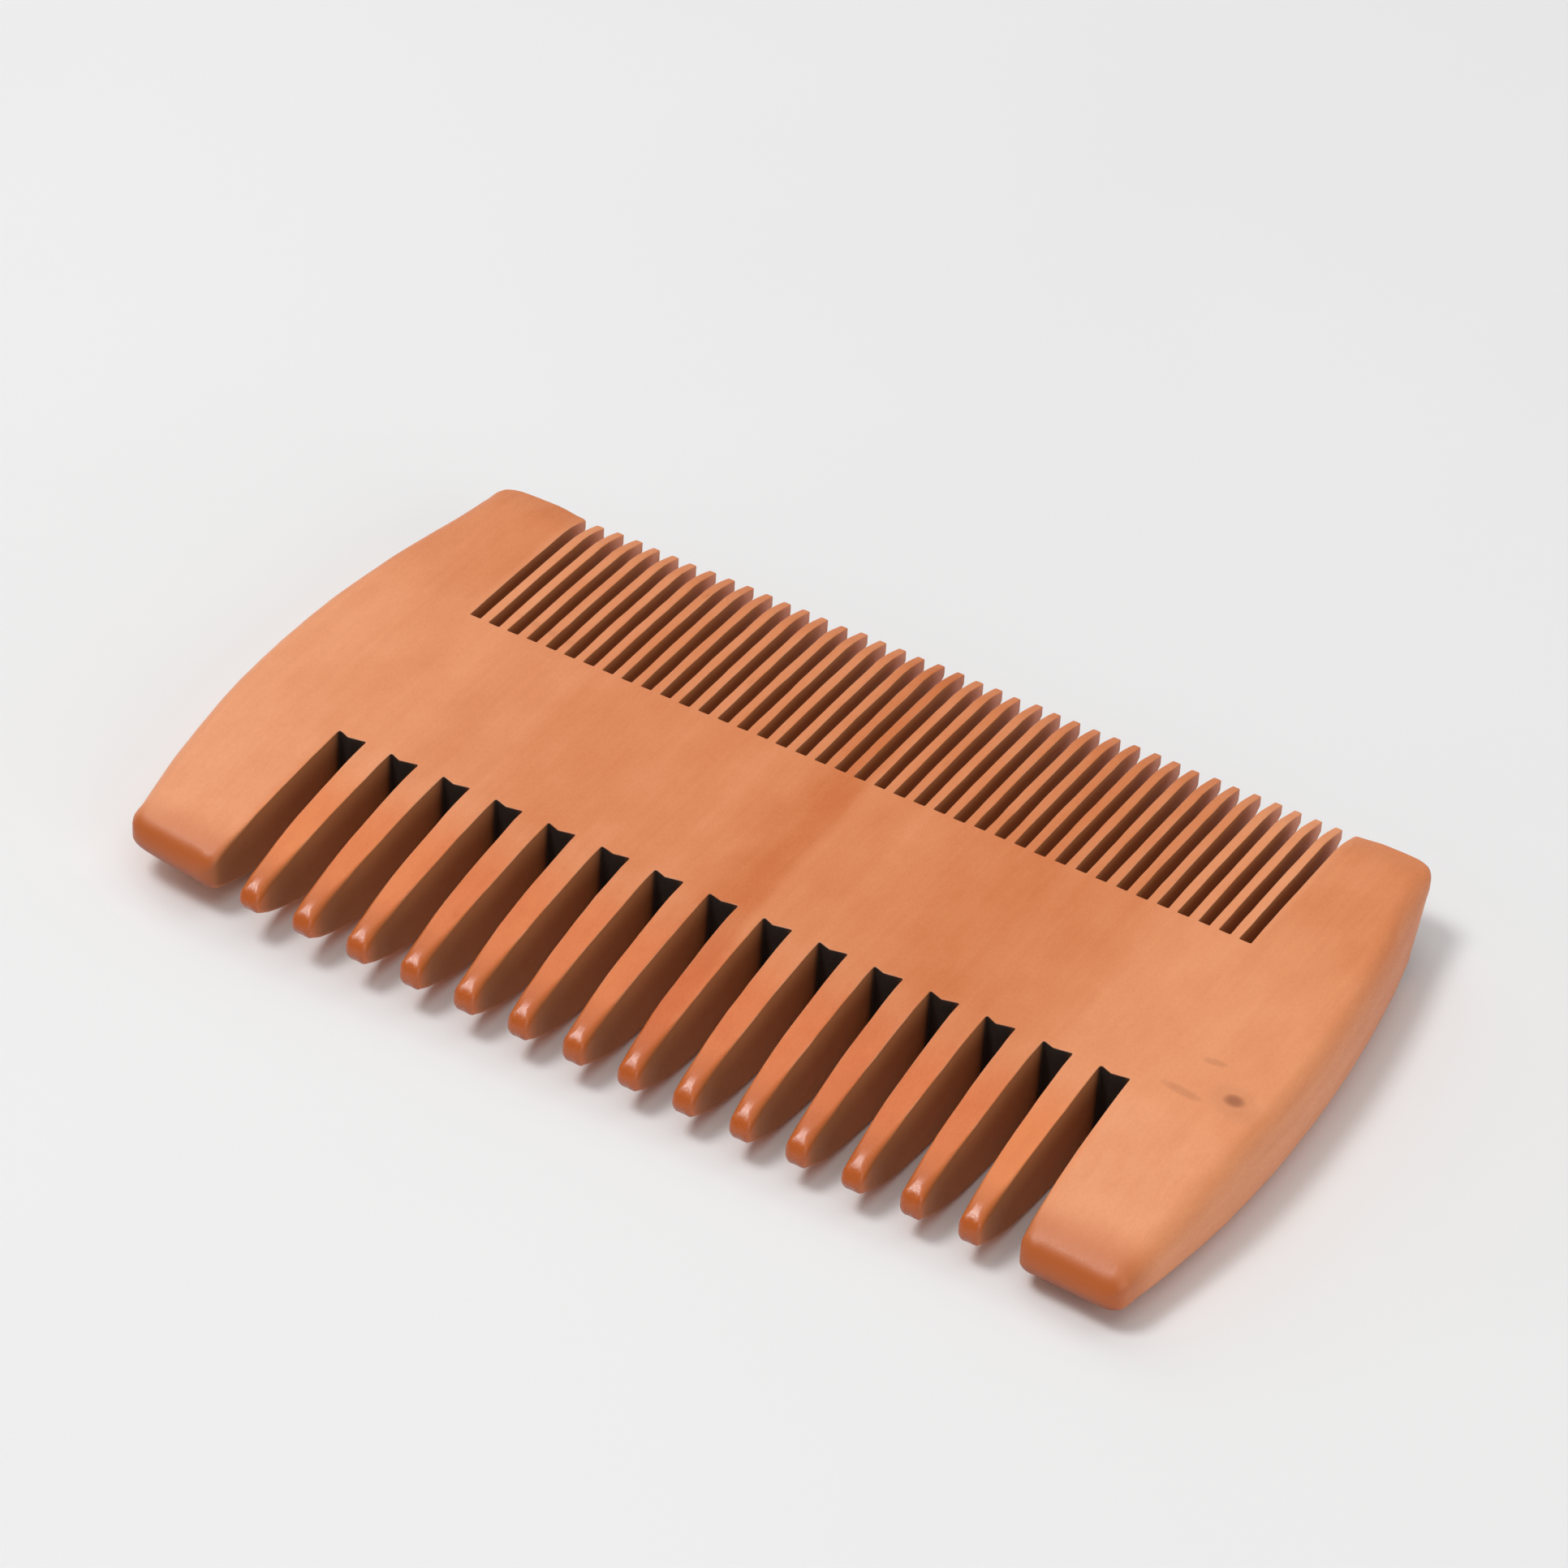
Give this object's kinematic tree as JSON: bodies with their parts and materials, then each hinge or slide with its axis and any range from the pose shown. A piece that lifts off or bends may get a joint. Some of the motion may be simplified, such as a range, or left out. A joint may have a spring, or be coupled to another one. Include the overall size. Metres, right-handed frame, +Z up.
{
  "type": "double-sided beard comb",
  "caption": "Double-sided wooden beard comb: a flat board with a coarse row of rounded teeth on one long edge, a fine row on the other and a wide bowed guard at each end.",
  "frame": {"origin": "centre of the underside of the comb's bounding box, on the surface it lies on", "axes": "+X along the length of the comb, +Y from the coarse teeth towards the fine teeth, +Z up through the thickness"},
  "size_m": [0.1, 0.0566, 0.0083],
  "materials": {
    "wood": "satin oiled fruitwood, warm orange-brown with fine straight grain"
  },
  "bodies": {
    "root": {"spine": "wood", "end_guard_left": "wood", "end_guard_right": "wood", "coarse_tooth_01": "wood", "coarse_tooth_02": "wood", "coarse_tooth_03": "wood", "coarse_tooth_04": "wood", "coarse_tooth_05": "wood", "coarse_tooth_06": "wood", "coarse_tooth_07": "wood", "coarse_tooth_08": "wood", "coarse_tooth_09": "wood", "coarse_tooth_10": "wood", "coarse_tooth_11": "wood", "coarse_tooth_12": "wood", "coarse_tooth_13": "wood", "coarse_tooth_14": "wood", "fine_tooth_01": "wood", "fine_tooth_02": "wood", "fine_tooth_03": "wood", "fine_tooth_04": "wood", "fine_tooth_05": "wood", "fine_tooth_06": "wood", "fine_tooth_07": "wood", "fine_tooth_08": "wood", "fine_tooth_09": "wood", "fine_tooth_10": "wood", "fine_tooth_11": "wood", "fine_tooth_12": "wood", "fine_tooth_13": "wood", "fine_tooth_14": "wood", "fine_tooth_15": "wood", "fine_tooth_16": "wood", "fine_tooth_17": "wood", "fine_tooth_18": "wood", "fine_tooth_19": "wood", "fine_tooth_20": "wood", "fine_tooth_21": "wood", "fine_tooth_22": "wood", "fine_tooth_23": "wood", "fine_tooth_24": "wood", "fine_tooth_25": "wood", "fine_tooth_26": "wood", "fine_tooth_27": "wood", "fine_tooth_28": "wood", "fine_tooth_29": "wood", "fine_tooth_30": "wood", "fine_tooth_31": "wood", "fine_tooth_32": "wood", "fine_tooth_33": "wood", "fine_tooth_34": "wood", "fine_tooth_35": "wood", "fine_tooth_36": "wood", "fine_tooth_37": "wood", "fine_tooth_38": "wood", "fine_tooth_39": "wood"}
  },
  "joints": []
}
